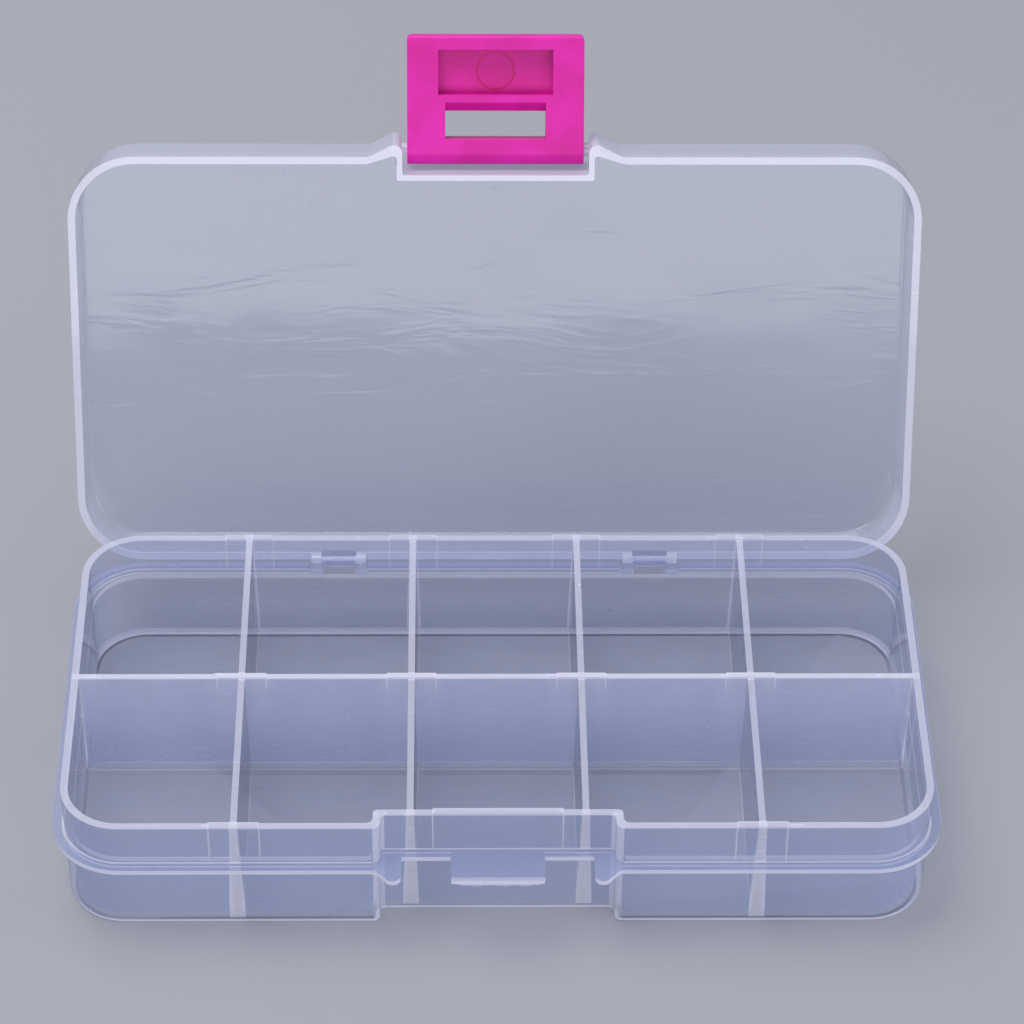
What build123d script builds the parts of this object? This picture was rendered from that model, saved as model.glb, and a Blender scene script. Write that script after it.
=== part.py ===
from build123d import *
import math
import os

# Ten-compartment box: a tray with fixed dividers, a snap-on hinged lid and a hinged latch.
# Origin: centre of the tray's underside. +X to the right, +Y to the hinge side, +Z up. Millimetres.

# Compartments and tray body
columns = 5
pitch = 25.0
tray_depth = 61.5
tray_height = 20.0
wall = 1.05
floor = 1.1
wall_draft = 0.2
patch_width = 7.2
patch_rise = 0.22
corner_radius = 8.6
base_fillet = 0.7
divider_top = 0.95
divider_foot = 1.5
cell_corner = 0.8

# Flange that the lid stands on
flange_height = 13.0
flange_thickness = 0.8
flange_reach = 1.6
nose_inside = 13.8
nose_root = 17.5
nose_reach = 4.0
nose_fillet = 1.2

# Front recess behind the latch, and the catch tab
recess_width = 33.5
recess_depth = 2.6
recess_corner = 0.9
tab_width = 13.4
tab_reach = 6.2
tab_thickness = 1.1
tab_lead = 0.5
tab_corner = 0.4
catch_patch_width = 18.6
catch_patch_rise = 0.3
tongue_inside_corner = 0.4
nose_inside_corner = 1.0

# Lid
lid_clearance = 0.35
lid_wall = 1.1
lid_height = 9.0
lid_panel = 1.1
lid_draft = 0.25
lid_edge = 0.9
lid_inner_edge = 0.4
notch_gap = 0.1
notch_wall = 0.85
notch_corner = 0.3
notch_inner_corner = 0.4
horn_wall_spare = 0.4
horn_blend = 1.2
horn_inner_corner = 0.5
notch_depth = 2.8
horn_root = 18.9
horn_reach = 2.6
horn_fillet = 1.2
lid_open_deg = 110.8

# Hinge: a bar on the lid snapped into a clip on the tray
hinge_offset = 24.0
hinge_out = 0.2
clip_width = 4.8
clip_radius = 1.55
ear_width = 1.5
ear_radius = 1.45
bar_radius = 0.85
bar_clearance = 0.05
hinge_gap = 0.3
heel_gap = 0.05
heel_length = 1.2
clip_mouth = 1.3
clip_gusset = 1.2
ear_neck = 3.5

# Latch
latch_width = 26.4
latch_thickness = 4.4
latch_tail = 17.1
latch_corner = 0.7
latch_edge = 0.3
latch_open_deg = 99.0
pivot_height = 4.5
pivot_radius = 1.0
pivot_clearance = 0.05
pivot_grip = 1.0
pivot_hole_spare = 0.25
slot_side_gap = 0.8
slot_over_tab = 2.75
slot_under_tab = 0.25
ramp_depth = 1.6
ramp_length = 1.4
pocket_width = 17.1
pocket_depth = 2.6
pocket_margin = 2.0
pocket_rib = 2.5
mark_radius = 2.8
mark_depth = 0.15

# Places worked out from the sizes
tray_width = columns * pitch
front_y = -tray_depth / 2
recess_y = front_y + recess_depth
flange_front = front_y - flange_reach
lid_width = tray_width + 2 * (lid_clearance + lid_wall)
lid_depth = tray_depth + 2 * (lid_clearance + lid_wall)
lid_front = -lid_depth / 2
lid_inner_front = lid_front + lid_wall
lid_top = flange_height + lid_height
notch_y = lid_front + notch_depth
notch_side = nose_inside + notch_gap
hinge_y = tray_depth / 2 + flange_reach + hinge_out
hinge_z = flange_height
tab_end = recess_y - tab_reach
latch_inner = tab_end + latch_thickness
pivot_y = tab_end + latch_thickness / 2
pivot_z = flange_height + pivot_height
slot_top = flange_height + slot_over_tab
slot_bottom = flange_height - tab_thickness - slot_under_tab


def slab(outline, z0, z1):
    """A straight block of a plan outline between two heights."""
    return extrude(Plane.XY.offset(z0) * outline, z1 - z0)


def side_prism(points, x0, width):
    """A block of constant section along X, from its (y, z) corners."""
    corners = [(x0, y, z) for y, z in points]
    face = make_face(Polyline(*corners, close=True))
    return extrude(face, width, dir=(1, 0, 0))


def x_cylinder(x0, width, y, z, radius):
    """A cylinder along X that starts at the given place."""
    face = Plane.YZ.offset(x0) * Pos(y, z) * Circle(radius)
    return extrude(face, width, dir=(1, 0, 0))


def drafted(outline, grow_low, grow_high, z0, z1):
    """A block whose walls lean evenly, so that its outline grows from one height to the other."""
    lean = math.degrees(math.atan2(grow_low - grow_high, z1 - z0))
    return extrude(Plane.XY.offset(z0) * outline(grow_low), z1 - z0, taper=lean)


def corner_arc(corner, before, after, radius):
    """The tangent points and the middle of the arc that rounds a corner of an outline."""
    to_before = (Vector(*before) - Vector(*corner)).normalized()
    to_after = (Vector(*after) - Vector(*corner)).normalized()
    half = math.radians(to_before.get_angle(to_after)) / 2
    reach = radius / math.tan(half)
    middle_dir = (to_before + to_after).normalized()
    centre = Vector(*corner) + middle_dir * (radius / math.sin(half))
    start = Vector(*corner) + to_before * reach
    end = Vector(*corner) + to_after * reach
    return start, centre - middle_dir * radius, end


def rounded_outline(corners):
    """A closed face from corner points, each with its own rounding radius."""
    edges = []
    last_end = None
    first_start = None
    count = len(corners)
    for i in range(count):
        x, y, radius = corners[i]
        before = corners[i - 1][:2]
        after = corners[(i + 1) % count][:2]
        start, middle, end = corner_arc((x, y), before, after, radius)
        if last_end is None:
            first_start = start
        else:
            edges.append(Line(last_end, start))
        edges.append(ThreePointArc(start, middle, end))
        last_end = end
    edges.append(Line(last_end, first_start))
    return make_face(edges)


def mirrored_outline(half):
    """A full outline from the corners of its right half, listed from the front centre to the back."""
    left = [(-x, y, r) for x, y, r in reversed(half)]
    return rounded_outline(half + left)


def tray_outline(grow):
    """The tray's plan with its front recess, grown outwards by the given amount."""
    side = tray_width / 2 + grow
    back = tray_depth / 2 + grow
    half_recess = recess_width / 2 - grow
    return mirrored_outline([
        (half_recess, recess_y - grow, recess_corner),
        (half_recess, front_y - grow, recess_corner),
        (side, front_y - grow, corner_radius + grow),
        (side, back, corner_radius + grow),
    ])


def cavity_outline(grow):
    """The inside of the tray's walls, which follows the recess round."""
    side = tray_width / 2 - wall + grow
    back = tray_depth / 2 - wall + grow
    half_recess = recess_width / 2 + wall - grow
    return mirrored_outline([
        (half_recess, recess_y + wall - grow, recess_corner),
        (half_recess, front_y + wall - grow, cell_corner),
        (side, front_y + wall - grow, corner_radius - wall + grow),
        (side, back, corner_radius - wall + grow),
    ])


def flange_outline():
    """The flange's plan: the tray's plan grown, with the two noses beside the latch."""
    side = tray_width / 2 + flange_reach
    back = tray_depth / 2 + flange_reach
    radius = corner_radius + flange_reach
    return mirrored_outline([
        (nose_inside, recess_y - flange_reach, tongue_inside_corner),
        (nose_inside, flange_front - nose_reach, nose_fillet),
        (nose_root, flange_front, nose_inside_corner),
        (side, flange_front, radius),
        (side, back, radius),
    ])


def cross_divider(x):
    """One drafted wall from front to back."""
    top, foot = divider_top / 2, divider_foot / 2
    section = Polyline((x - foot, front_y, floor / 2), (x + foot, front_y, floor / 2),
                       (x + top, front_y, tray_height), (x - top, front_y, tray_height), close=True)
    return extrude(make_face(section), tray_depth, dir=(0, 1, 0))


def long_divider():
    """The drafted wall from side to side."""
    top, foot = divider_top / 2, divider_foot / 2
    section = ((-foot, floor / 2), (foot, floor / 2), (top, tray_height), (-top, tray_height))
    return side_prism(section, -tray_width / 2, tray_width)


def catch_tab():
    """The tongue that the latch closes over, with a lead on its underside."""
    top = flange_height
    low = top - tab_thickness
    root = recess_y + wall / 2
    side = ((root, low), (tab_end + tab_lead, low), (tab_end, low + tab_lead), (tab_end, top), (root, top))
    tab = side_prism(side, -tab_width / 2, tab_width)
    front_edges = tab.edges().filter_by(Axis.Z).sort_by(Axis.Y)[:2]
    return fillet(front_edges, tab_corner)


def rim_patches():
    """Shallow steps on the rim where the mould's inserts met it."""
    front_middle = front_y + wall / 2
    back_middle = tray_depth / 2 - wall / 2
    recess_middle = recess_y + wall / 2
    root = tray_height - patch_rise
    patches = Pos(0, recess_middle, root) * Box(
        catch_patch_width, wall, catch_patch_rise + patch_rise, align=(Align.CENTER, Align.CENTER, Align.MIN))
    for i in range(1, columns):
        x = (i - columns / 2) * pitch
        places = [(back_middle, wall), (0, divider_top)]
        if abs(x) > recess_width / 2:
            places.append((front_middle, wall))
        for y, thickness in places:
            patches = patches + Pos(x, y, root) * Box(
                patch_width, thickness, 2 * patch_rise, align=(Align.CENTER, Align.CENTER, Align.MIN))
    return patches


def hinge_cylinder(x_middle, width, radius):
    """A cylinder on the hinge axis, centred on the given place along it."""
    return x_cylinder(x_middle - width / 2, width, hinge_y, hinge_z, radius)


def hinge_places():
    """The middle of each hinge."""
    return (-hinge_offset, hinge_offset)


def hinge_span():
    """The width of the clip, both ears and their gaps."""
    return clip_width + 2 * (hinge_gap + ear_width)


def tray_clip(x):
    """The clip that holds the lid's bar: a web from the back wall with an open-mouthed bore."""
    root = tray_depth / 2 - wall / 2
    web_low = hinge_z - clip_radius
    web = ((root, web_low - clip_gusset), (hinge_y, web_low), (hinge_y, hinge_z + bar_radius),
           (root, hinge_z + bar_radius))
    body = side_prism(web, x - clip_width / 2, clip_width)
    body = body + hinge_cylinder(x, clip_width, clip_radius)
    body = body - hinge_cylinder(x, 2 * clip_width, bar_radius + bar_clearance)
    mouth = Pos(x, hinge_y, hinge_z + clip_radius) * Box(2 * clip_width, clip_mouth, 2 * clip_radius)
    return body - mouth


def make_tray():
    """The tray with everything moulded into it."""
    bottom_grow = -wall_draft
    body = drafted(tray_outline, bottom_grow, 0, 0, tray_height)
    body = fillet(body.faces().sort_by(Axis.Z)[0].edges(), base_fillet)
    cavity = drafted(cavity_outline, bottom_grow * (1 - floor / tray_height), 0, floor, tray_height)
    dividers = long_divider()
    for i in range(1, columns):
        dividers = dividers + cross_divider((i - columns / 2) * pitch)
    dividers = dividers & body
    flange = slab(flange_outline(), flange_height - flange_thickness, flange_height)
    relief_depth = flange_reach + hinge_out + ear_radius
    for x in hinge_places():
        relief = Pos(x, tray_depth / 2 + relief_depth / 2, hinge_z)
        flange = flange - relief * Box(hinge_span() + 2 * hinge_gap, relief_depth, 4 * clip_radius)
    shell = body + flange + catch_tab() - cavity
    tray = shell + dividers + rim_patches()
    for x in hinge_places():
        tray = tray + (tray_clip(x) - cavity)
    return tray


def lid_outline(grow):
    """The lid's plan with its front notch between two horns."""
    side = lid_width / 2 + grow
    back = lid_depth / 2 + grow
    radius = corner_radius + lid_clearance + lid_wall + grow
    return mirrored_outline([
        (notch_side - grow, notch_y - grow, notch_corner),
        (notch_side - grow, lid_front - horn_reach - grow, horn_fillet),
        (horn_root, lid_front - grow, horn_blend),
        (side, lid_front - grow, radius),
        (side, back, radius),
    ])


def lid_cavity_outline(grow):
    """The inside of the lid's skirt."""
    side = lid_width / 2 - lid_wall + grow
    back = lid_depth / 2 - lid_wall + grow
    radius = corner_radius + lid_clearance + grow
    return mirrored_outline([
        (notch_side + notch_wall - grow, notch_y + notch_wall - grow, notch_inner_corner),
        (notch_side + notch_wall - grow, lid_inner_front - horn_reach + horn_blend - grow, horn_inner_corner),
        (horn_root + horn_wall_spare, lid_inner_front - grow, horn_blend),
        (side, lid_inner_front - grow, radius),
        (side, back, radius),
    ])


def pivot_stub(sign):
    """A stub on a horn's inner face that enters the latch's side."""
    root = notch_side + notch_wall
    tip = latch_width / 2 - pivot_grip
    start = tip if sign > 0 else -root
    return x_cylinder(start, root - tip, pivot_y, pivot_z, pivot_radius)


def hinge_ear(x0):
    """A disc with a heel that meets the tray's back wall when the lid is fully open."""
    away = math.radians(lid_open_deg - 180)
    heel_reach = hinge_y - tray_depth / 2 - heel_gap
    ny, nz = math.cos(away), math.sin(away)
    ty, tz = -nz, ny
    first = (hinge_y + heel_reach * ny, hinge_z + heel_reach * nz)
    second = (first[0] + heel_length * ty, first[1] + heel_length * tz)
    top = (hinge_y + ear_radius * ty, hinge_z + ear_radius * tz)
    heel = side_prism(((hinge_y, hinge_z), first, second, top), x0, ear_width)
    return heel + x_cylinder(x0, ear_width, hinge_y, hinge_z, ear_radius)


def lid_hinge(x):
    """One bar between two ears, joined to the skirt above the clip's clearance."""
    ears_from = x - clip_width / 2 - hinge_gap - ear_width
    ears_to = x + clip_width / 2 + hinge_gap
    hinge = hinge_cylinder(x, clip_width + 2 * (hinge_gap + ear_width), bar_radius)
    inner = lid_depth / 2 - lid_wall
    outer = lid_depth / 2 - lid_draft
    neck_top = hinge_z + ear_neck
    neck = ((inner, hinge_z), (hinge_y + ear_radius, hinge_z), (outer, neck_top), (inner, neck_top))
    for x0 in (ears_from, ears_to):
        hinge = hinge + hinge_ear(x0) + side_prism(neck, x0, ear_width)
    return hinge


def make_closed_lid():
    """The lid in its closed place."""
    body = drafted(lid_outline, 0, -lid_draft, flange_height, lid_top)
    body = fillet(body.faces().sort_by(Axis.Z)[-1].edges(), lid_edge)
    inner_top = lid_top - lid_panel
    inner_grow = -lid_draft * (inner_top - flange_height) / lid_height
    cavity = drafted(lid_cavity_outline, 0, inner_grow, flange_height, inner_top)
    cavity = fillet(cavity.faces().sort_by(Axis.Z)[-1].edges(), lid_inner_edge)
    lid = body - cavity
    clear = clip_radius + hinge_gap
    for x in hinge_places():
        lid = lid - hinge_cylinder(x, clip_width + 2 * hinge_gap, clear)
        lid = lid + lid_hinge(x)
    for sign in (-1, 1):
        lid = lid + (pivot_stub(sign) - cavity)
    return lid


def make_closed_latch():
    """The latch hanging in its closed place."""
    outer, inner = tab_end, latch_inner
    bottom = pivot_z - latch_tail
    head = Pos(pivot_y, pivot_z) * Circle(latch_thickness / 2)
    side = Polyline((outer + latch_edge, bottom), (inner - latch_edge, bottom), (inner, bottom + latch_edge),
                    (inner, pivot_z), (outer, pivot_z), (outer, bottom + latch_edge), close=True)
    side = make_face(side) + head
    blank = extrude(Plane.YZ.offset(-latch_width / 2) * side, latch_width, dir=(1, 0, 0))
    tail_corners = blank.edges().filter_by(Axis.Y).group_by(Axis.Z)[0]
    blank = fillet(tail_corners, latch_corner)
    slot_width = tab_width + 2 * slot_side_gap
    slot_mid = (slot_top + slot_bottom) / 2
    slot = Pos(0, pivot_y, slot_mid) * Box(slot_width, 3 * latch_thickness, slot_top - slot_bottom)
    ramp_side = ((inner, slot_top), (inner, slot_bottom - ramp_length),
                 (inner - ramp_depth, slot_bottom), (inner - ramp_depth, slot_top))
    ramp = side_prism(ramp_side, -slot_width / 2, slot_width)
    pocket_low = bottom + pocket_margin
    pocket_high = slot_bottom - pocket_rib
    pocket = Pos(0, inner, (pocket_low + pocket_high) / 2)
    mark = pocket * Rot(90, 0, 0) * Cylinder(mark_radius, 2 * (pocket_depth + mark_depth))
    pocket = pocket * Box(pocket_width, 2 * pocket_depth, pocket_high - pocket_low)
    latch = blank - slot - ramp - pocket - mark
    hole_depth = pivot_grip + pivot_hole_spare
    for x0 in (-latch_width / 2, latch_width / 2 - hole_depth):
        latch = latch - x_cylinder(x0, hole_depth, pivot_y, pivot_z, pivot_radius + pivot_clearance)
    return latch


def turned(shape, y, z, degrees):
    """A shape turned about an axis along X through the given place."""
    return Pos(0, y, z) * Rot(degrees, 0, 0) * Pos(0, -y, -z) * shape


def main():
    tray = make_tray()
    lid = turned(make_closed_lid(), hinge_y, hinge_z, -lid_open_deg)
    latch = turned(make_closed_latch(), pivot_y, pivot_z, -latch_open_deg)
    latch = turned(latch, hinge_y, hinge_z, -lid_open_deg)
    os.makedirs("parts", exist_ok=True)
    export_step(tray, "parts/tray.step")
    export_step(lid, "parts/lid.step")
    export_step(latch, "parts/latch.step")


main()
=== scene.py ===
import math
import random

import bmesh
import bpy
from mathutils import Matrix, Vector


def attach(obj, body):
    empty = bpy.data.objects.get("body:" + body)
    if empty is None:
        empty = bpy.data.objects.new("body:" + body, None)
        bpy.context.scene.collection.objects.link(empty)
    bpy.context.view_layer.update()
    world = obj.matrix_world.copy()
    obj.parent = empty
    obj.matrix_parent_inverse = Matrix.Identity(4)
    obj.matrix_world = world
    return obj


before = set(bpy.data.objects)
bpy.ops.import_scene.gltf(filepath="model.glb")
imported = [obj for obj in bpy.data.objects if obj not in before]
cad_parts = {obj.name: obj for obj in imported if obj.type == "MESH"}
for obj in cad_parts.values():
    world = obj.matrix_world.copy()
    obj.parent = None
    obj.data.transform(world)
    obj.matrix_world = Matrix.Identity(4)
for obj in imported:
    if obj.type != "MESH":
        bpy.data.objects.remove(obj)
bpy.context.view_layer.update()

# The tray: one clear polypropylene moulding with fixed dividers, a flange for the lid and a catch tab.
# The sheets are thin and nearly clear. Rims, the flange's edge, the base's edge and the places where walls
# meet are thicker, so they look milky white. The mould leaves faint flow lines, scratches and specks.

MILKY_EDGE = (0.86, 0.85, 0.94, 1.0)
CLEAR_SHEET = (0.40, 0.46, 0.69, 1.0)
PASSED_LIGHT = (0.925, 0.938, 0.978, 1.0)
SHEET_DENSITY = 0.045
SHEET_WHITENESS = 0.12
FILM_ROUGHNESS = 0.32
GLOSS_ROUGHNESS = 0.07
GLOW_SHARE = 0.4
MM = 1000.0

# The tray's own sizes and places, in millimetres.
PITCH = 25.0
HALF_WIDTH, HALF_DEPTH, TRAY_HEIGHT = 62.5, 30.75, 20.0
CORNER, WALL, FLOOR = 8.6, 1.05, 1.1
DIVIDER_FOOT = 0.75
FLANGE_UNDER, FLANGE_TOP, FLANGE_REACH = 12.2, 13.0, 1.6
RECESS_SIDE, RECESS_Y = 16.75, -28.15
TAB_SIDE, TAB_END = 6.7, -34.35
CLIP_X, CLIP_SIDE = 24.0, 2.4
PATCH_SIDE, CATCH_PATCH_SIDE = 3.6, 9.3


def node(tree, kind, **settings):
    """A new node with its own properties set."""
    made = tree.nodes.new(kind)
    for name, value in settings.items():
        setattr(made, name, value)
    return made


def feed(tree, socket, value):
    """A link or a plain value into a socket."""
    if isinstance(value, bpy.types.NodeSocket):
        tree.links.new(value, socket)
    else:
        socket.default_value = value


def calc(tree, operation, first, second=0.0, third=0.0):
    """One Math node."""
    made = node(tree, "ShaderNodeMath", operation=operation)
    for socket, value in zip(made.inputs, (first, second, third)):
        feed(tree, socket, value)
    return made.outputs[0]


def rise(tree, value, start, end, low=0.0, high=1.0):
    """A soft step from low to high while the value goes from start to end."""
    made = node(tree, "ShaderNodeMapRange", interpolation_type="SMOOTHSTEP")
    feed(tree, made.inputs["Value"], value)
    feed(tree, made.inputs["From Min"], start)
    feed(tree, made.inputs["From Max"], end)
    feed(tree, made.inputs["To Min"], low)
    feed(tree, made.inputs["To Max"], high)
    return made.outputs[0]


def fall(tree, value, start, end):
    """A soft step from 1 to 0 while the value goes from start to end."""
    return rise(tree, value, start, end, 1.0, 0.0)


def either(tree, *masks):
    """The largest of several masks."""
    result = masks[0]
    for mask in masks[1:]:
        result = calc(tree, "MAXIMUM", result, mask)
    return result


def both(tree, *masks):
    """The product of several masks."""
    result = masks[0]
    for mask in masks[1:]:
        result = calc(tree, "MULTIPLY", result, mask)
    return result


def outside(tree, mask):
    """1 where a mask is 0, and 0 where it is 1."""
    return calc(tree, "SUBTRACT", 1.0, mask)


def apart(tree, value, place):
    """How far a value lies from a place."""
    return calc(tree, "ABSOLUTE", calc(tree, "SUBTRACT", value, place))


def band(tree, value, low, high, soft):
    """1 between two places and 0 outside, with soft ends."""
    return both(tree, rise(tree, value, low - soft, low + soft), fall(tree, value, high - soft, high + soft))


def length_of(tree, across, along):
    """The length of a vector from its two parts."""
    squares = calc(tree, "ADD", calc(tree, "MULTIPLY", across, across), calc(tree, "MULTIPLY", along, along))
    return calc(tree, "SQRT", squares)


def with_amounts(tree, start, amounts):
    """A start value plus each mask times its own amount."""
    total = start
    for mask, amount in amounts:
        total = calc(tree, "ADD", total, calc(tree, "MULTIPLY", mask, amount))
    return total


def own_place(tree, *turns):
    """The point's own place in millimetres, turned about axes along X through (y, z), and its parts.

    The last value returned is how far the surface faces up or down, from 0 on a wall to 1 on a floor."""
    coords = node(tree, "ShaderNodeTexCoord")
    whole, move = 0.0, Vector((0.0, 0.0, 0.0))
    for turn, (y, z) in turns:
        axis = Vector((0.0, y, z))
        move = axis + Matrix.Rotation(turn, 3, "X") @ (move - axis)
        whole += turn
    place = node(tree, "ShaderNodeMapping", vector_type="POINT")
    feed(tree, place.inputs["Vector"], coords.outputs["Object"])
    feed(tree, place.inputs["Rotation"], (whole, 0.0, 0.0))
    feed(tree, place.inputs["Location"], move)
    scaled = node(tree, "ShaderNodeVectorMath", operation="SCALE")
    feed(tree, scaled.inputs[0], place.outputs[0])
    feed(tree, scaled.inputs["Scale"], MM)
    parts = node(tree, "ShaderNodeSeparateXYZ")
    feed(tree, parts.inputs[0], scaled.outputs[0])
    facing = node(tree, "ShaderNodeVectorRotate", rotation_type="X_AXIS")
    feed(tree, facing.inputs["Vector"], coords.outputs["Normal"])
    feed(tree, facing.inputs["Angle"], whole)
    normal = node(tree, "ShaderNodeSeparateXYZ")
    feed(tree, normal.inputs[0], facing.outputs[0])
    return scaled.outputs[0], parts.outputs, calc(tree, "ABSOLUTE", normal.outputs[2])


def group_socket(group, name, kind, way, value=None):
    """A named input or output on a node group, with its usual value."""
    made = group.interface.new_socket(name=name, in_out=way, socket_type="NodeSocket" + kind)
    if value is not None:
        made.default_value = value


def build_moulding_marks():
    """Faint marks of a clear moulding: flow streaks, fine scratches and pale specks, from a place in mm."""
    group = bpy.data.node_groups.new("moulding_marks", "ShaderNodeTree")
    group_socket(group, "Place", "Vector", "INPUT")
    group_socket(group, "Streaks", "Float", "INPUT", 1.0)
    group_socket(group, "Scratches", "Float", "INPUT", 1.0)
    group_socket(group, "Specks", "Float", "INPUT", 1.0)
    group_socket(group, "Haze", "Float", "OUTPUT")
    group_socket(group, "Height", "Float", "OUTPUT")
    given = node(group, "NodeGroupInput").outputs
    long_way = node(group, "ShaderNodeMapping")
    feed(group, long_way.inputs["Vector"], given["Place"])
    feed(group, long_way.inputs["Scale"], (0.035, 0.16, 0.16))
    flow = node(group, "ShaderNodeTexNoise")
    feed(group, flow.inputs["Vector"], long_way.outputs[0])
    for name, value in (("Scale", 1.0), ("Detail", 3.0), ("Roughness", 0.6), ("Distortion", 1.0)):
        feed(group, flow.inputs[name], value)
    streaks = rise(group, flow.outputs[0], 0.45, 0.75)
    thin = node(group, "ShaderNodeMapping")
    feed(group, thin.inputs["Vector"], given["Place"])
    feed(group, thin.inputs["Rotation"], (0.3, 0.2, 0.5))
    feed(group, thin.inputs["Scale"], (0.12, 2.4, 1.7))
    scratch = node(group, "ShaderNodeTexNoise")
    feed(group, scratch.inputs["Vector"], thin.outputs[0])
    for name, value in (("Scale", 1.0), ("Detail", 1.0), ("Distortion", 0.5)):
        feed(group, scratch.inputs[name], value)
    scratches = rise(group, scratch.outputs[0], 0.69, 0.74)
    dots = node(group, "ShaderNodeTexVoronoi")
    feed(group, dots.inputs["Vector"], given["Place"])
    feed(group, dots.inputs["Scale"], 0.22)
    specks = fall(group, dots.outputs["Distance"], 0.03, 0.05)
    streak_haze = both(group, streaks, given["Streaks"])
    scratch_haze = both(group, scratches, given["Scratches"])
    haze = calc(group, "ADD", streak_haze, scratch_haze)
    haze = calc(group, "ADD", haze, both(group, specks, given["Specks"]))
    waves = node(group, "ShaderNodeTexNoise")
    feed(group, waves.inputs["Vector"], given["Place"])
    feed(group, waves.inputs["Scale"], 0.045)
    feed(group, waves.inputs["Detail"], 1.0)
    height = calc(group, "ADD", calc(group, "MULTIPLY", streaks, 0.08), waves.outputs[0])
    out = node(group, "NodeGroupOutput")
    feed(group, out.inputs["Haze"], haze)
    feed(group, out.inputs["Height"], height)
    return group


moulding_marks = build_moulding_marks()


def marks(tree, place, streaks, scratches, specks):
    """The moulding marks' outputs with this material's own amounts."""
    made = node(tree, "ShaderNodeGroup", node_tree=moulding_marks)
    feed(tree, made.inputs["Place"], place)
    feed(tree, made.inputs["Streaks"], streaks)
    feed(tree, made.inputs["Scratches"], scratches)
    feed(tree, made.inputs["Specks"], specks)
    return made.outputs["Haze"], made.outputs["Height"]


def empty_material(name):
    """A material with no nodes yet."""
    material = bpy.data.materials.new(name)
    material.use_nodes = True
    material.node_tree.nodes.clear()
    return material


def clear_surface(material, density, whiteness, haze, height, wave):
    """A thin milky film that looks more solid where it is seen at a slant, with a gloss on top."""
    tree = material.node_tree
    colour = node(tree, "ShaderNodeMix", data_type="RGBA")
    feed(tree, colour.inputs[0], whiteness)
    feed(tree, colour.inputs[6], CLEAR_SHEET)
    feed(tree, colour.inputs[7], MILKY_EDGE)
    bump = node(tree, "ShaderNodeBump")
    feed(tree, bump.inputs["Height"], height)
    feed(tree, bump.inputs["Strength"], 1.0)
    feed(tree, bump.inputs["Distance"], wave)
    film = node(tree, "ShaderNodeBsdfPrincipled")
    feed(tree, film.inputs["Base Color"], colour.outputs[2])
    feed(tree, film.inputs["Roughness"], FILM_ROUGHNESS)
    feed(tree, film.inputs["Normal"], bump.outputs[0])
    slant = node(tree, "ShaderNodeLayerWeight")
    feed(tree, slant.inputs["Blend"], 0.5)
    straight = calc(tree, "MAXIMUM", outside(tree, slant.outputs["Facing"]), 0.2)
    solid = calc(tree, "MAXIMUM", calc(tree, "ADD", density, haze), 0.02)
    solid = calc(tree, "MINIMUM", solid, 0.9)
    passed = calc(tree, "POWER", outside(tree, solid), calc(tree, "DIVIDE", 1.0, straight))
    solid = calc(tree, "MINIMUM", outside(tree, passed), 0.94)
    to_lamp = node(tree, "ShaderNodeLightPath").outputs["Is Shadow Ray"]
    solid = calc(tree, "MULTIPLY", solid, rise(tree, to_lamp, 0.0, 1.0, 1.0, 0.35))
    glow = node(tree, "ShaderNodeBsdfTranslucent")
    feed(tree, glow.inputs["Color"], colour.outputs[2])
    milky = node(tree, "ShaderNodeMixShader")
    feed(tree, milky.inputs[0], GLOW_SHARE)
    feed(tree, milky.inputs[1], film.outputs[0])
    feed(tree, milky.inputs[2], glow.outputs[0])
    see_through = node(tree, "ShaderNodeBsdfTransparent")
    feed(tree, see_through.inputs["Color"], PASSED_LIGHT)
    body = node(tree, "ShaderNodeMixShader")
    feed(tree, body.inputs[0], solid)
    feed(tree, body.inputs[1], see_through.outputs[0])
    feed(tree, body.inputs[2], milky.outputs[0])
    shine = node(tree, "ShaderNodeBsdfAnisotropic", distribution="GGX")
    feed(tree, shine.inputs["Roughness"], GLOSS_ROUGHNESS)
    feed(tree, shine.inputs["Normal"], bump.outputs[0])
    grazing = calc(tree, "POWER", slant.outputs["Facing"], 5.0)
    mirror = calc(tree, "MULTIPLY_ADD", grazing, 0.9, 0.045)
    back = node(tree, "ShaderNodeNewGeometry").outputs["Backfacing"]
    mirror = calc(tree, "MULTIPLY", mirror, rise(tree, back, 0.0, 1.0, 1.0, 0.3))
    whole = node(tree, "ShaderNodeMixShader")
    feed(tree, whole.inputs[0], mirror)
    feed(tree, whole.inputs[1], body.outputs[0])
    feed(tree, whole.inputs[2], shine.outputs[0])
    feed(tree, node(tree, "ShaderNodeOutputMaterial").inputs["Surface"], whole.outputs[0])


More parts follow.
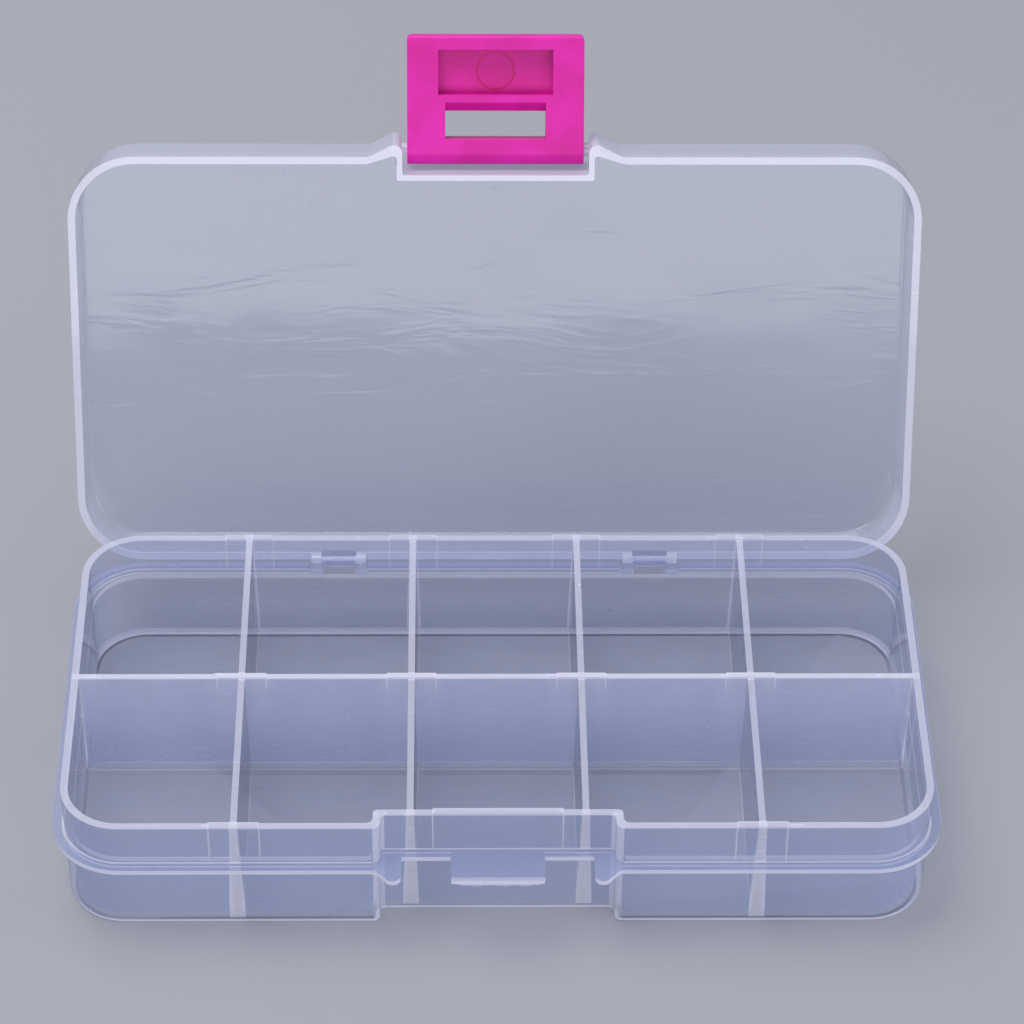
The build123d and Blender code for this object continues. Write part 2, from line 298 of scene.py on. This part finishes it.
def clear_tray():
    """The tray's plastic: how solid it looks mostly follows how thick it is. The front walls' extra density
    and the lengthwise divider's whiter top are painted light, and the back wall's thin density is painted
    shade.
    """
    material = empty_material("clear_tray")
    tree = material.node_tree
    place, (x, y, z), level = own_place(tree)
    ax, ay = calc(tree, "ABSOLUTE", x), calc(tree, "ABSOLUTE", y)
    upright = fall(tree, level, 0.4, 0.6)

    # How far the point lies from the nearest cross divider, and from the middle of the corner's rounding.
    to_divider = calc(tree, "PINGPONG", calc(tree, "ADD", x, 4.5 * PITCH), PITCH / 2)
    inboard = fall(tree, ax, 2 * PITCH, 2 * PITCH + 0.5)
    past_x = calc(tree, "MAXIMUM", calc(tree, "SUBTRACT", ax, HALF_WIDTH - CORNER), 0.0)
    past_y = calc(tree, "MAXIMUM", calc(tree, "SUBTRACT", ay, HALF_DEPTH - CORNER), 0.0)
    reach = length_of(tree, past_x, past_y)

    # The outer walls, by side.
    recess_back = RECESS_Y + WALL
    recess_side = RECESS_SIDE + WALL
    in_recess = both(tree, fall(tree, ax, recess_side + 0.05, recess_side + 0.2),
                     fall(tree, y, recess_back, recess_back + 0.1))
    inner_face = CORNER - WALL
    outer = either(tree, rise(tree, reach, inner_face - 0.45, inner_face - 0.25), in_recess)
    at_front = either(tree, both(tree, outer, fall(tree, y, -27.5, -26.0)), in_recess)
    at_back = both(tree, outer, rise(tree, y, 26.0, 28.5))
    at_side = both(tree, outer, rise(tree, ax, 58.0, 60.5))
    inner = outside(tree, outer)

    # The dividers, the floor and the edges.
    above_floor = rise(tree, z, FLOOR + 0.05, FLOOR + 0.2)
    long_wall = both(tree, fall(tree, ay, DIVIDER_FOOT + 0.05, DIVIDER_FOOT + 0.2), inner, above_floor)
    cross_wall = both(tree, fall(tree, to_divider, DIVIDER_FOOT + 0.05, DIVIDER_FOOT + 0.2), inner,
                      above_floor, inboard, outside(tree, long_wall))
    # The lengthwise divider is frosted, and it is painted more solid and whiter towards its top: painted
    # light, as the light falls from above.
    frosted_with_painted_top_light = both(tree, long_wall, rise(tree, z, 2.0, 15.0, 0.35, 1.0),
                   rise(tree, to_divider, 2.5, 6.0, 1.0, 0.75))
    rim = rise(tree, z, TRAY_HEIGHT - 0.25, TRAY_HEIGHT - 0.05)
    ground = both(tree, fall(tree, z, FLOOR + 0.1, FLOOR + 0.3), inner)
    base_edge = both(tree, fall(tree, z, 0.5, FLOOR + 0.1), outer)
    foot = both(tree, fall(tree, z, 1.0, 1.6), inner,
                either(tree, fall(tree, ay, DIVIDER_FOOT, DIVIDER_FOOT + 0.25),
                       both(tree, fall(tree, to_divider, DIVIDER_FOOT, DIVIDER_FOOT + 0.25), inboard)))

    # The flange, the catch tab, the hinge clips and the recess's upright corners.
    tab_root = RECESS_Y - FLANGE_REACH
    tab = both(tree, fall(tree, ax, TAB_SIDE - 0.05, TAB_SIDE + 0.05),
               fall(tree, y, tab_root - 0.15, tab_root - 0.05))
    tab_end = both(tree, tab, fall(tree, y, TAB_END + 0.45, TAB_END + 0.75))
    past_wall = either(tree, rise(tree, reach, CORNER + 0.15, CORNER + 0.3),
                       both(tree, in_recess, fall(tree, y, RECESS_Y - 0.2, RECESS_Y - 0.1)))
    at_flange = both(tree, band(tree, z, FLANGE_UNDER - 0.05, FLANGE_TOP + 0.05, 0.05), outer)
    flange = both(tree, at_flange, past_wall, rise(tree, tab, 0.0, 1.0, 1.0, 0.45))
    flange_edge = both(tree, at_flange, past_wall, upright)
    root = both(tree, at_flange, outside(tree, past_wall))
    clip = both(tree, rise(tree, y, HALF_DEPTH + 0.15, HALF_DEPTH + 0.25),
                fall(tree, apart(tree, ax, CLIP_X), CLIP_SIDE + 0.2, CLIP_SIDE + 0.4))
    post = both(tree, band(tree, ax, 16.2, 17.9, 0.1), band(tree, y, -31.0, -27.0, 0.1), upright)

    # Where the dividers run into the outer walls, they show through as pale wedges.
    half_joint = rise(tree, z, 1.0, TRAY_HEIGHT, 1.15, 0.6)
    cross_joint = fall(tree, calc(tree, "SUBTRACT", to_divider, half_joint), -0.15, 0.15)
    long_joint = fall(tree, calc(tree, "SUBTRACT", ay, half_joint), -0.15, 0.15)
    joint = both(tree, either(tree, both(tree, cross_joint, inboard, either(tree, at_front, at_back)),
                              both(tree, long_joint, at_side)),
                 above_floor, outside(tree, past_wall))

    # Witness lines of the mould's inserts.
    above_flange = rise(tree, z, FLANGE_TOP, FLANGE_TOP + 0.2)
    patch_line = both(tree, fall(tree, apart(tree, to_divider, PATCH_SIDE), 0.05, 0.16), inboard,
                      above_flange,
                      either(tree, at_front, at_back, both(tree, long_wall, rise(tree, z, 16.0, 19.0))))
    catch_line = both(tree, fall(tree, apart(tree, ax, CATCH_PATCH_SIDE), 0.06, 0.18), in_recess,
                      above_flange)
    line = either(tree, both(tree, patch_line, fall(tree, in_recess, 0.4, 0.6)), catch_line)

    # The front walls are given more density than the side walls, and the side walls more than the back wall,
    # though all are as thick: painted light on the front and painted shade on the back.
    density = with_amounts(tree, SHEET_DENSITY, (
        (long_wall, 0.12), (frosted_with_painted_top_light, 0.26), (cross_wall, 0.05), (at_front, 0.13), (at_side, 0.06),
        (at_back, 0.02), (flange, 0.1), (root, 0.36), (flange_edge, 0.45), (tab_end, 0.2), (rim, 0.36),
        (base_edge, 0.6), (joint, 0.24), (foot, 0.22), (line, 0.12), (ground, 0.05), (clip, -0.3),
        (post, 0.2)))
    white_places = either(
        tree, rim, base_edge, flange_edge, calc(tree, "MULTIPLY", post, 0.7),
        calc(tree, "MULTIPLY", tab_end, 0.5), foot, line, calc(tree, "MULTIPLY", joint, 0.9), root,
        calc(tree, "MULTIPLY", frosted_with_painted_top_light, 0.45))
    whiteness = calc(tree, "MINIMUM", calc(tree, "ADD", SHEET_WHITENESS, white_places), 1.0)
    haze, height = marks(tree, place, 0.035, 0.08, 0.25)
    clear_surface(material, density, whiteness, haze, height, 0.00002)
    return material


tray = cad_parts["tray"]
tray_plastic = clear_tray()
tray.data.materials.clear()
tray.data.materials.append(tray_plastic)


# Mould flash on the tray: paper-thin ragged slivers of the same plastic, left where the mould's inserts met,
# on the rims beside the dividers and under the end of the catch tab.

flash_dice = random.Random(7)


def ragged_sliver(mesh, x0, x1, y, z, height, thickness, steps):
    """A thin upright fin along X whose free edge is torn unevenly. A negative height hangs down."""
    rows = []
    for i in range(steps + 1):
        x = x0 + (x1 - x0) * i / steps
        at_end = min(i, steps - i) / max(1, steps / 4)
        rise_here = height * min(1.0, 0.25 + at_end) * flash_dice.uniform(0.55, 1.0)
        row = []
        for side in (-0.5, 0.5):
            root = (x / MM, (y + side * thickness) / MM, z / MM)
            tip = (x / MM, (y + side * thickness * 0.5) / MM, (z + rise_here) / MM)
            row.append(mesh.verts.new(root))
            row.append(mesh.verts.new(tip))
        rows.append(row)
    for first, second in zip(rows, rows[1:]):
        for a, b in ((0, 1), (1, 3), (3, 2), (2, 0)):
            mesh.faces.new((first[a], first[b], second[b], second[a]))
    mesh.faces.new((rows[0][0], rows[0][2], rows[0][3], rows[0][1]))
    mesh.faces.new((rows[-1][0], rows[-1][1], rows[-1][3], rows[-1][2]))


def finished_piece(name, mesh, material, body):
    """An object from a bmesh, with its material, attached to its body's empty."""
    bmesh.ops.recalc_face_normals(mesh, faces=mesh.faces)
    data = bpy.data.meshes.new(name)
    mesh.to_mesh(data)
    mesh.free()
    data.materials.append(material)
    made = bpy.data.objects.new(name, data)
    bpy.context.scene.collection.objects.link(made)
    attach(made, body)
    return made


# Each sliver: where it starts and ends along X, its place across, the height of its foot, and how tall it is.
RIM_Z, PATCH_Z, CATCH_PATCH_Z = 19.95, 20.2, 20.28
RIM_SLIVERS = (
    (-36.4, -34.9, 30.2, RIM_Z, 0.34), (32.4, 34.0, 30.3, RIM_Z, 0.42), (-9.6, -8.6, 30.2, PATCH_Z, 0.2),
    (15.8, 16.6, 30.3, PATCH_Z, 0.2), (-21.2, -20.4, 30.3, RIM_Z, 0.22), (41.3, 43.4, -30.3, RIM_Z, 0.34),
    (-42.0, -41.0, -30.2, RIM_Z, 0.3), (-17.6, -17.0, -28.0, RIM_Z, 0.42), (-16.3, -15.8, -27.8, RIM_Z, 0.3),
    (16.2, 17.5, -28.0, RIM_Z, 0.36), (-9.4, -8.8, -27.7, CATCH_PATCH_Z, 0.25),
    (8.7, 9.4, -27.7, CATCH_PATCH_Z, 0.3), (-41.6, -40.0, 0.2, PATCH_Z, 0.25),
    (-59.8, -58.6, 0.1, RIM_Z, 0.5), (-9.2, -8.4, 0.1, RIM_Z, 0.3), (7.6, 9.4, -0.1, PATCH_Z, 0.25),
    (-34.2, -33.6, 0.0, RIM_Z, 0.3),
    (33.2, 34.4, 0.1, RIM_Z, 0.28), (15.9, 16.8, 0.0, PATCH_Z, 0.2), (56.0, 57.0, 0.1, RIM_Z, 0.2))
RIM_SLIVER_THICKNESS, RIM_SLIVER_STEPS = 0.22, 7
FRINGE_Y, FRINGE_Z, FRINGE_HEIGHT = -34.3, 12.5, -0.78
FRINGE_THICKNESS, FRINGE_STEPS = 0.14, 46

slivers = bmesh.new()
for x0, x1, y, z, height in RIM_SLIVERS:
    ragged_sliver(slivers, x0, x1, y, z, height, RIM_SLIVER_THICKNESS, RIM_SLIVER_STEPS)
finished_piece("rim_flash", slivers, tray_plastic, "tray")

fringe = bmesh.new()
ragged_sliver(fringe, -6.55, 6.6, FRINGE_Y, FRINGE_Z, FRINGE_HEIGHT, FRINGE_THICKNESS, FRINGE_STEPS)
finished_piece("tab_flash", fringe, tray_plastic, "tray")

# The lid: one clear polypropylene moulding, a flat panel with a shallow skirt and a notch for the latch.
# It is snapped on the tray's two hinge clips and lies back on its heels when it is open.

HINGE = (0.03255, 0.013)
LID_OPEN = math.radians(110.8)
PANEL_UNDER = 20.9


def clear_lid():
    """The lid's plastic, with its masks worked out in the lid's shut place."""
    material = empty_material("clear_lid")
    tree = material.node_tree
    place, (x, y, z), _ = own_place(tree, (LID_OPEN, HINGE))
    ax, ay = calc(tree, "ABSOLUTE", x), calc(tree, "ABSOLUTE", y)
    rim = both(tree, fall(tree, z, FLANGE_TOP + 0.1, FLANGE_TOP + 0.6), fall(tree, y, 32.2, 32.35))
    skirt = fall(tree, z, PANEL_UNDER - 0.3, PANEL_UNDER + 0.1)
    in_notch = both(tree, fall(tree, ax, 15.2, 15.6), fall(tree, y, -28.2, -28.0))
    front = fall(tree, y, -31.0, -30.6)
    corner = both(tree, rise(tree, ax, 55.0, 61.0), rise(tree, ay, 24.0, 29.5))
    panel_edge = both(tree, rise(tree, z, PANEL_UNDER - 0.2, PANEL_UNDER + 0.3),
                      either(tree, rise(tree, ax, 62.6, 63.3), rise(tree, ay, 30.9, 31.6)))
    density = with_amounts(tree, SHEET_DENSITY, (
        (rim, 0.55), (skirt, 0.11), (both(tree, skirt, front), 0.1), (panel_edge, 0.5), (in_notch, 0.25),
        (both(tree, corner, skirt), -0.05)))
    white_places = either(tree, rim, calc(tree, "MULTIPLY", panel_edge, 0.8), in_notch,
                          calc(tree, "MULTIPLY", skirt, 0.7))
    whiteness = calc(tree, "MINIMUM", calc(tree, "ADD", SHEET_WHITENESS, white_places), 1.0)
    haze, height = marks(tree, place, 0.03, 0.09, 0.3)
    clear_surface(material, density, whiteness, haze, height, 0.00013)
    return material


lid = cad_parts["lid"]
lid.data.materials.clear()
lid.data.materials.append(clear_lid())

# The latch: one magenta polypropylene moulding that swings on the lid's two stubs and snaps over the tab.
# Its skin is satin with a fine spark texture. Inside the finger pocket and along the ring of its round mark
# it carries painted shade, a little redder and darker.

LATCH_PIVOT = (0.059732, 0.071885)
LATCH_OPEN = math.radians(99.0)
MAGENTA, BRIGHT_MAGENTA = (0.64, 0.007, 0.30, 1.0), (0.73, 0.011, 0.40, 1.0)
# The colour of the painted shade in the finger pocket and in the ring of its mark.
SHADE_MAGENTA = (0.55, 0.002, 0.12, 1.0)
POCKET_SIDE = 8.6
MARK_Z, MARK_RADIUS = 5.775, 2.8


def magenta_plastic():
    """The latch's opaque plastic."""
    material = empty_material("magenta_latch")
    tree = material.node_tree
    place, (x, y, z), _ = own_place(tree, (LATCH_OPEN, LATCH_PIVOT), (LID_OPEN, HINGE))
    cloud = node(tree, "ShaderNodeTexNoise")
    feed(tree, cloud.inputs["Vector"], place)
    feed(tree, cloud.inputs["Scale"], 0.16)
    feed(tree, cloud.inputs["Detail"], 4.0)
    colour = node(tree, "ShaderNodeMix", data_type="RGBA")
    feed(tree, colour.inputs[0], rise(tree, cloud.outputs[0], 0.3, 0.7))
    feed(tree, colour.inputs[6], MAGENTA)
    feed(tree, colour.inputs[7], BRIGHT_MAGENTA)

    # Painted shade: the pocket is painted a little darker and redder, and the ring of the round mark on its
    # floor darker still.
    pocket_shade = both(tree, band(tree, y, -33.2, -30.2, 0.1),
                fall(tree, calc(tree, "ABSOLUTE", x), POCKET_SIDE - 0.1, POCKET_SIDE + 0.1),
                band(tree, z, 2.3, 9.3, 0.1))
    from_mark = length_of(tree, x, calc(tree, "SUBTRACT", z, MARK_Z))
    ring_shade = both(tree, fall(tree, apart(tree, from_mark, MARK_RADIUS), 0.08, 0.22), pocket_shade)
    # How much painted shade is mixed in: a little over the pocket, more along the ring.
    shade_amount = calc(tree, "ADD", calc(tree, "MULTIPLY", pocket_shade, 0.12), calc(tree, "MULTIPLY", ring_shade, 0.6))
    shaded_colour = node(tree, "ShaderNodeMix", data_type="RGBA")
    feed(tree, shaded_colour.inputs[0], shade_amount)
    feed(tree, shaded_colour.inputs[6], colour.outputs[2])
    feed(tree, shaded_colour.inputs[7], SHADE_MAGENTA)
    grain = node(tree, "ShaderNodeTexNoise")
    feed(tree, grain.inputs["Vector"], place)
    feed(tree, grain.inputs["Scale"], 5.0)
    feed(tree, grain.inputs["Detail"], 3.0)
    haze, height = marks(tree, place, 0.2, 1.0, 1.0)
    fine, coarse = calc(tree, "MULTIPLY", grain.outputs[0], 0.6), calc(tree, "MULTIPLY", height, 0.5)
    relief = calc(tree, "ADD", fine, coarse)
    bump = node(tree, "ShaderNodeBump")
    feed(tree, bump.inputs["Height"], relief)
    feed(tree, bump.inputs["Strength"], 0.25)
    feed(tree, bump.inputs["Distance"], 0.0001)
    skin = node(tree, "ShaderNodeBsdfPrincipled")
    feed(tree, skin.inputs["Base Color"], shaded_colour.outputs[2])
    feed(tree, skin.inputs["Roughness"], rise(tree, haze, 0.0, 1.0, 0.42, 0.6))
    feed(tree, skin.inputs["Normal"], bump.outputs[0])
    feed(tree, skin.inputs["Specular IOR Level"], 0.28)
    feed(tree, skin.inputs["Subsurface Weight"], 0.25)
    feed(tree, skin.inputs["Subsurface Radius"], (0.0012, 0.0003, 0.0007))
    feed(tree, skin.inputs["Subsurface Scale"], 1.0)
    feed(tree, node(tree, "ShaderNodeOutputMaterial").inputs["Surface"], skin.outputs[0])
    return material


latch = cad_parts["latch"]
latch.data.materials.clear()
latch.data.materials.append(magenta_plastic())

# The studio: a pale paper floor, three soft lights, even air light and a camera at the photograph's
# viewing angle. None of it is part of the box.

FLOOR_PAPER = (0.33, 0.335, 0.36, 1.0)
AIR_COLOUR, AIR_STRENGTH = (0.80, 0.84, 1.0, 1.0), 0.45

bpy.ops.mesh.primitive_plane_add(size=6.0, location=(0.0, 0.0, 0.0))
floor = bpy.context.object
floor.name = "studio_floor"
paper = bpy.data.materials.new("floor_paper")
paper.use_nodes = True
paper.node_tree.nodes["Principled BSDF"].inputs["Base Color"].default_value = FLOOR_PAPER
paper.node_tree.nodes["Principled BSDF"].inputs["Roughness"].default_value = 0.9
floor.data.materials.append(paper)


def soft_light(name, place, target, size, power, colour=(1.0, 1.0, 1.0)):
    """A rectangular soft light that faces a place."""
    lamp = bpy.data.lights.new(name, "AREA")
    lamp.shape = "RECTANGLE"
    lamp.size, lamp.size_y = size
    lamp.energy = power
    lamp.color = colour
    holder = bpy.data.objects.new(name, lamp)
    holder.location = place
    holder.rotation_euler = (Vector(target) - Vector(place)).to_track_quat("-Z", "Y").to_euler()
    bpy.context.scene.collection.objects.link(holder)


soft_light("key", (-0.30, 0.15, 0.95), (0.0, 0.0, 0.02), (0.8, 0.6), 8.0)
soft_light("front", (0.05, -1.1, 0.345), (0.0, 0.0, 0.30), (1.6, 0.5), 6.5)
soft_light("side", (0.9, -0.1, 0.35), (0.0, 0.0, 0.04), (0.4, 0.4), 2.0, (0.9, 0.94, 1.0))

world = bpy.data.worlds.new("studio_air")
world.use_nodes = True
world.node_tree.nodes["Background"].inputs["Color"].default_value = AIR_COLOUR
world.node_tree.nodes["Background"].inputs["Strength"].default_value = AIR_STRENGTH
bpy.context.scene.world = world
bpy.context.scene.view_settings.view_transform = "Standard"
bpy.context.scene.cycles.transparent_max_bounces = 40
bpy.context.scene.cycles.max_bounces = 5
bpy.context.scene.cycles.diffuse_bounces = 2
bpy.context.scene.cycles.glossy_bounces = 2

# The camera's turns, its focal length in pixels of the frame, and where the object's origin lies from it.
YAW, PITCH_DOWN, ROLL = math.radians(1.21), math.radians(-41.9), math.radians(0.78)
FOCAL_PX, FRAME_PX, SENSOR_MM = 3854.9, 1024, 36.0
ORIGIN_FROM_CAMERA = (-2.5, 39.05, 581.29)

look = Matrix.Rotation(ROLL, 3, "Z") @ Matrix.Rotation(PITCH_DOWN, 3, "X").transposed()
look = look @ Matrix(((1, 0, 0), (0, 0, -1), (0, 1, 0))) @ Matrix.Rotation(YAW, 3, "Z")
offset = Vector(ORIGIN_FROM_CAMERA) / MM
eye = -(look.transposed() @ offset)
lens = bpy.data.cameras.new("camera")
lens.sensor_width = SENSOR_MM
lens.lens = FOCAL_PX * SENSOR_MM / FRAME_PX
lens.clip_start = 0.01
camera = bpy.data.objects.new("camera", lens)
camera.matrix_world = Matrix((
    (look[0][0], -look[1][0], -look[2][0], eye.x),
    (look[0][1], -look[1][1], -look[2][1], eye.y),
    (look[0][2], -look[1][2], -look[2][2], eye.z),
    (0, 0, 0, 1)))
bpy.context.scene.collection.objects.link(camera)
bpy.context.scene.camera = camera
